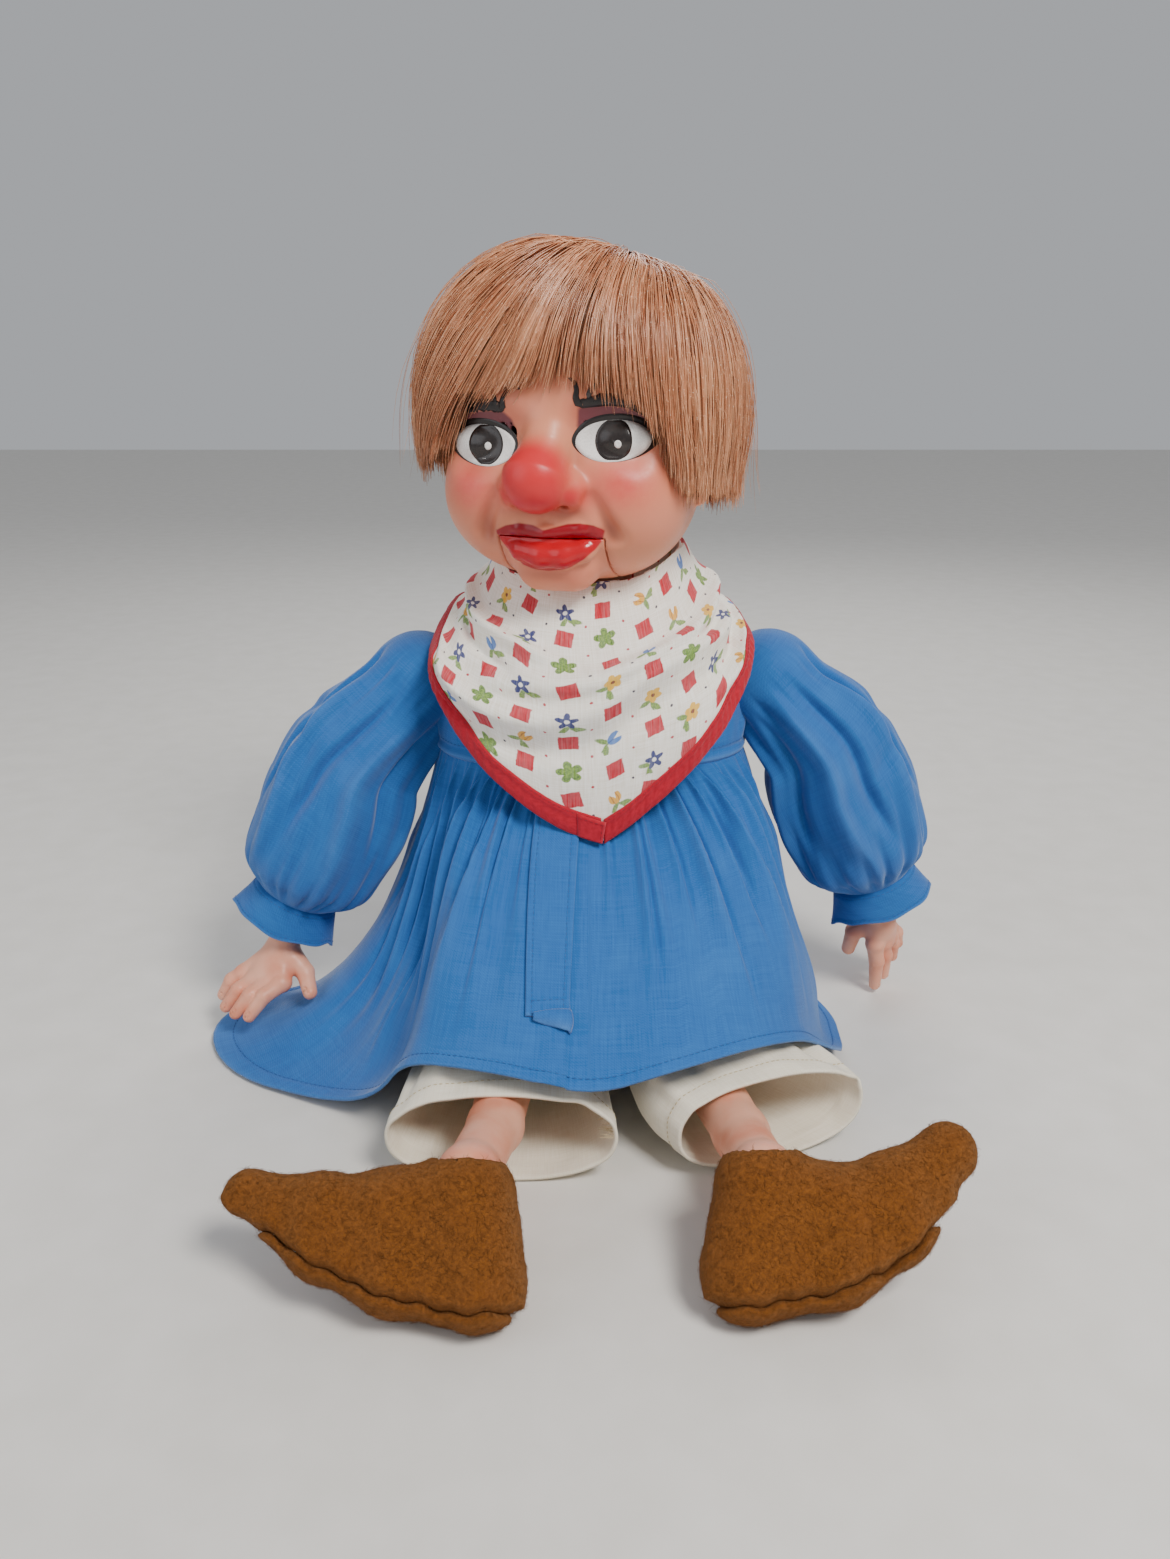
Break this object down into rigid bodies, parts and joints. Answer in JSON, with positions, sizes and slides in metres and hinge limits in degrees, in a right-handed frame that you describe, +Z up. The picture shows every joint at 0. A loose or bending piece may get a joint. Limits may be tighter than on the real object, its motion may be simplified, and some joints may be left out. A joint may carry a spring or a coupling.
{
  "type": "ventriloquist figure",
  "caption": "Seated cloth-bodied ventriloquist figure with vinyl head, slot jaw worked by a lever on a neck post, turning and nodding head, hinged arms and legs, smock and felt slippers.",
  "frame": {"origin": "centre of the flat underside of the trouser seat, on the surface the figure sits on", "axes": "+Z up, the body faces -Y, +X is the figure's left hand side as it looks out, so the viewer's right"},
  "size_m": [0.3927, 0.3037, 0.4006],
  "materials": {
    "head_vinyl": "flesh-coloured soft vinyl with painted features",
    "hand_vinyl": "plain flesh-coloured vinyl",
    "leg_vinyl": "plain flesh-coloured vinyl",
    "control_wood": "sanded close-grained wood, unvarnished",
    "steel": "bright drawn wire and pin stock",
    "neck_nylon": "white low-friction plastic",
    "hair": "glossy straight synthetic hair, ginger",
    "wig_net": "fine elastic net",
    "body_cloth": "unbleached cotton over stuffing",
    "blue_linen": "mid-blue plain-weave linen",
    "cream_cotton": "cream plain-weave cotton",
    "print_cotton": "off-white cotton with a small floral print",
    "red_binding": "red bias binding, stitched",
    "brown_felt": "brown wool felt"
  },
  "bodies": {
    "body": {"torso": "body_cloth", "trouser_seat": "cream_cotton", "shoulder_board": "control_wood", "neck_socket": "neck_nylon", "smock_yoke": "blue_linen", "smock_skirt": "blue_linen", "placket": "blue_linen", "neckerchief": "print_cotton", "neckerchief_binding": "red_binding"},
    "neck_ring": {"neck_slip_ring": "neck_nylon"},
    "head": {"head_shell": "head_vinyl", "wig": "hair", "wig_cap": "wig_net", "mechanism_frame": "control_wood", "neck_ball": "control_wood", "control_post": "control_wood", "lever_pin": "steel", "jaw_pin": "steel", "jaw_spring": "steel"},
    "jaw": {"jaw": "head_vinyl", "jaw_frame": "control_wood"},
    "lever": {"thumb_lever": "control_wood"},
    "rod": {"push_rod": "steel"},
    "left_arm": {"left_arm": "body_cloth", "left_hand": "hand_vinyl", "left_sleeve": "blue_linen", "left_cuff": "blue_linen"},
    "left_leg": {"left_thigh": "body_cloth", "left_shin": "leg_vinyl", "left_trouser_leg": "cream_cotton", "left_slipper_upper": "brown_felt", "left_slipper_sole": "brown_felt"},
    "right_arm": {"right_arm": "body_cloth", "right_hand": "hand_vinyl", "right_sleeve": "blue_linen", "right_cuff": "blue_linen"},
    "right_leg": {"right_thigh": "body_cloth", "right_shin": "leg_vinyl", "right_trouser_leg": "cream_cotton", "right_slipper_upper": "brown_felt", "right_slipper_sole": "brown_felt"}
  },
  "joints": [
    {"name": "head_turn", "type": "hinge", "parent": "body", "child": "neck_ring", "pos_m": [0, 0.018, 0.216], "axis": [0, 0, 1], "range_deg": [-35, 65]},
    {"name": "head_nod", "type": "hinge", "parent": "neck_ring", "child": "head", "pos_m": [0, 0.018, 0.222], "axis": [0.9659, -0.2588, 0], "range_deg": [-10, 10]},
    {"name": "jaw_open", "type": "hinge", "parent": "head", "child": "jaw", "pos_m": [-0.00777, -0.01098, 0.283], "axis": [0.9659, -0.2588, 0], "range_deg": [0, 14], "stiffness_Nm_per_rad": 0.05, "springref_deg": -11.46, "deforming": ["jaw_spring"]},
    {"name": "thumb_lever_press", "type": "hinge", "parent": "head", "child": "lever", "pos_m": [0, 0.018, 0.147], "axis": [0.9659, -0.2588, 0], "range_deg": [-20, 0]},
    {"name": "push_rod_slide", "type": "slide", "parent": "head", "child": "rod", "axis": [0, 0, 1], "range_m": [0, 0.0045]},
    {"name": "left_shoulder", "type": "hinge", "parent": "body", "child": "left_arm", "pos_m": [-0.088, 0.014, 0.187], "axis": [-0.7071, 0.7071, 0], "range_deg": [0, 60]},
    {"name": "right_shoulder", "type": "hinge", "parent": "body", "child": "right_arm", "pos_m": [0.091, 0.014, 0.188], "axis": [-0.7071, -0.7071, 0], "range_deg": [0, 60]},
    {"name": "left_hip", "type": "hinge", "parent": "body", "child": "left_leg", "pos_m": [-0.038, -0.014, 0.032], "axis": [1, 0, 0], "range_deg": [0, 70]},
    {"name": "right_hip", "type": "hinge", "parent": "body", "child": "right_leg", "pos_m": [0.038, -0.014, 0.032], "axis": [1, 0, 0], "range_deg": [0, 70]}
  ],
  "couplings": [
    {"joint": "thumb_lever_press", "follows": "jaw_open", "ratio": -1.4},
    {"joint": "push_rod_slide", "follows": "jaw_open", "m_per_rad": 0.0175}
  ]
}
